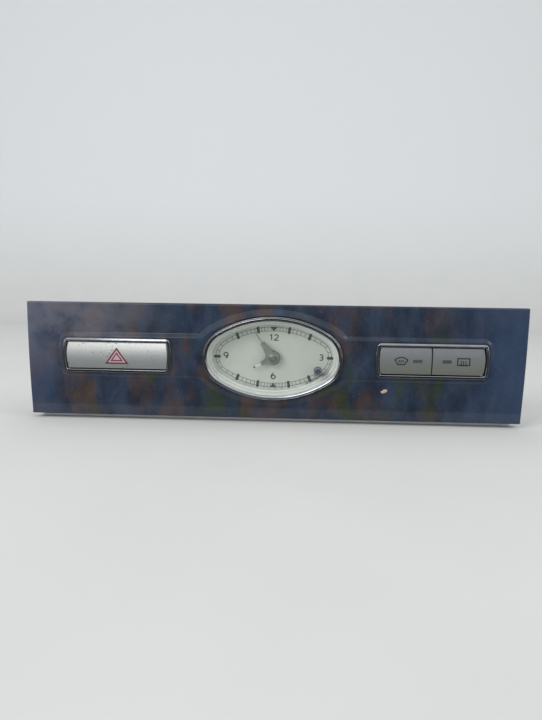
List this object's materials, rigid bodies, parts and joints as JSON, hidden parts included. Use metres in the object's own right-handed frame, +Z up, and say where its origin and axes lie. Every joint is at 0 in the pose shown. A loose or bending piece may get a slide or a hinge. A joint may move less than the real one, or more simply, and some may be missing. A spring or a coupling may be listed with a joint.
{
  "type": "dashboard clock panel",
  "caption": "Wide dashboard trim panel with an oval analogue clock between a hazard switch and a pair of screen heater switches, with clips, pegs and plug sockets behind.",
  "frame": {"origin": "middle of the lower face of the carrier, which stands the panel upright", "axes": "+X along the panel to the driver's right, -Y out of the dial, +Z up"},
  "size_m": [0.23, 0.0423, 0.055],
  "materials": {
    "lacquered_burr": "gloss lacquer over a dark burr print",
    "grey_carrier": "fine moulded grain",
    "zinc_screws": "zinc plated",
    "spring_steel": "drawn wire and strip",
    "bright_chrome": "bright plating",
    "silver_paint": "speckled silver paint",
    "grey_paint": "dark silver paint",
    "smoked_window": "smoked window, unlit",
    "white_nylon": "moulded",
    "contact_brass": "stamped",
    "black_nylon": "moulded",
    "lamp_glass": "clear",
    "green_board": "resist coating",
    "component_plastic": "moulded",
    "clear_lens": "clear moulded dome",
    "dial_ring_paint": "satin",
    "dial_paint": "satin silver grey, printed",
    "hand_paint": "satin grey",
    "slate_button": "polished",
    "black_case": "moulded",
    "clear_guide": "clear moulding",
    "movement_brass": "lightly grained",
    "magnet_steel": "stamped",
    "copper_winding": "enamelled copper wire",
    "holder_plastic": "moulded",
    "natural_socket": "moulded"
  },
  "bodies": {
    "panel": {"fascia_panel": "lacquered_burr", "carrier_frame": "grey_carrier", "carrier_screws": "zinc_screws", "hazard_screws": "zinc_screws", "screen_screws": "zinc_screws", "clock_screws": "zinc_screws", "cover_screws": "zinc_screws", "spring_clips": "spring_steel", "hazard_spring": "spring_steel", "front_screen_spring": "spring_steel", "rear_screen_spring": "spring_steel", "set_spring": "spring_steel", "hazard_bezel": "bright_chrome", "screen_bezel": "bright_chrome", "clock_bezel": "bright_chrome", "hazard_terminals": "contact_brass", "screen_terminals": "contact_brass", "clock_terminals": "contact_brass", "hazard_housing": "black_nylon", "hazard_base": "black_nylon", "screen_housing": "black_nylon", "screen_base": "black_nylon", "hazard_lamp": "lamp_glass", "screen_lamps": "lamp_glass", "lamps": "lamp_glass", "screen_board": "green_board", "clock_board": "green_board", "screen_micro_switches": "component_plastic", "set_switch": "component_plastic", "board_parts": "component_plastic", "clock_lens": "clear_lens", "dial_ring": "dial_ring_paint", "clock_dial": "dial_paint", "clock_case": "black_case", "rear_cover": "black_case", "light_guide": "clear_guide", "front_plate": "movement_brass", "back_plate": "movement_brass", "stator": "magnet_steel", "coil": "copper_winding", "lamp_holders": "holder_plastic", "clock_socket": "natural_socket"},
    "hazard_key": {"hazard_button": "silver_paint", "hazard_plunger": "white_nylon", "hazard_contact_bridge": "contact_brass"},
    "front_screen_key": {"front_screen_button": "grey_paint", "front_screen_indicator": "smoked_window"},
    "rear_screen_key": {"rear_screen_button": "grey_paint", "rear_screen_indicator": "smoked_window"},
    "set_key": {"set_button": "slate_button"},
    "minute_train": {"minute_arbor": "movement_brass", "minute_hand": "hand_paint", "hand_cap": "hand_paint"},
    "hour_train": {"hour_wheel": "movement_brass", "hour_hand": "hand_paint"},
    "motion_train": {"motion_wheel": "movement_brass"},
    "third_train": {"third_wheel": "movement_brass"},
    "motor_rotor": {"rotor": "magnet_steel"}
  },
  "joints": [
    {"name": "hazard_press", "type": "slide", "parent": "panel", "child": "hazard_key", "axis": [0, 1, 0], "range_m": [0, 0.0025], "stiffness_N_per_m": 600, "springref_m": -0.003, "deforming": ["hazard_spring"]},
    {"name": "front_screen_press", "type": "slide", "parent": "panel", "child": "front_screen_key", "axis": [0, 1, 0], "range_m": [0, 0.002], "stiffness_N_per_m": 500, "springref_m": -0.0025, "deforming": ["front_screen_spring"]},
    {"name": "rear_screen_press", "type": "slide", "parent": "panel", "child": "rear_screen_key", "axis": [0, 1, 0], "range_m": [0, 0.002], "stiffness_N_per_m": 500, "springref_m": -0.0025, "deforming": ["rear_screen_spring"]},
    {"name": "set_press", "type": "slide", "parent": "panel", "child": "set_key", "axis": [0, 1, 0], "range_m": [0, 0.0012], "stiffness_N_per_m": 400, "springref_m": -0.002, "deforming": ["set_spring"]},
    {"name": "minute_turn", "type": "hinge", "parent": "panel", "child": "minute_train", "pos_m": [0, 0, 0.0305], "axis": [0, 1, 0], "continuous": true},
    {"name": "hour_turn", "type": "hinge", "parent": "panel", "child": "hour_train", "pos_m": [0, 0, 0.0305], "axis": [0, 1, 0], "continuous": true},
    {"name": "motion_turn", "type": "hinge", "parent": "panel", "child": "motion_train", "pos_m": [0.01, 0, 0.0305], "axis": [0, 1, 0], "continuous": true},
    {"name": "third_turn", "type": "hinge", "parent": "panel", "child": "third_train", "pos_m": [-0.0119, 0, 0.0305], "axis": [0, 1, 0], "continuous": true},
    {"name": "rotor_turn", "type": "hinge", "parent": "panel", "child": "motor_rotor", "pos_m": [-0.01672, 0, 0.02362], "axis": [0, 1, 0], "continuous": true}
  ],
  "couplings": [
    {"joint": "hour_turn", "follows": "minute_turn", "ratio": 0.083333},
    {"joint": "motion_turn", "follows": "minute_turn", "ratio": -0.33333},
    {"joint": "third_turn", "follows": "minute_turn", "ratio": -7.5},
    {"joint": "rotor_turn", "follows": "minute_turn", "ratio": 45}
  ]
}
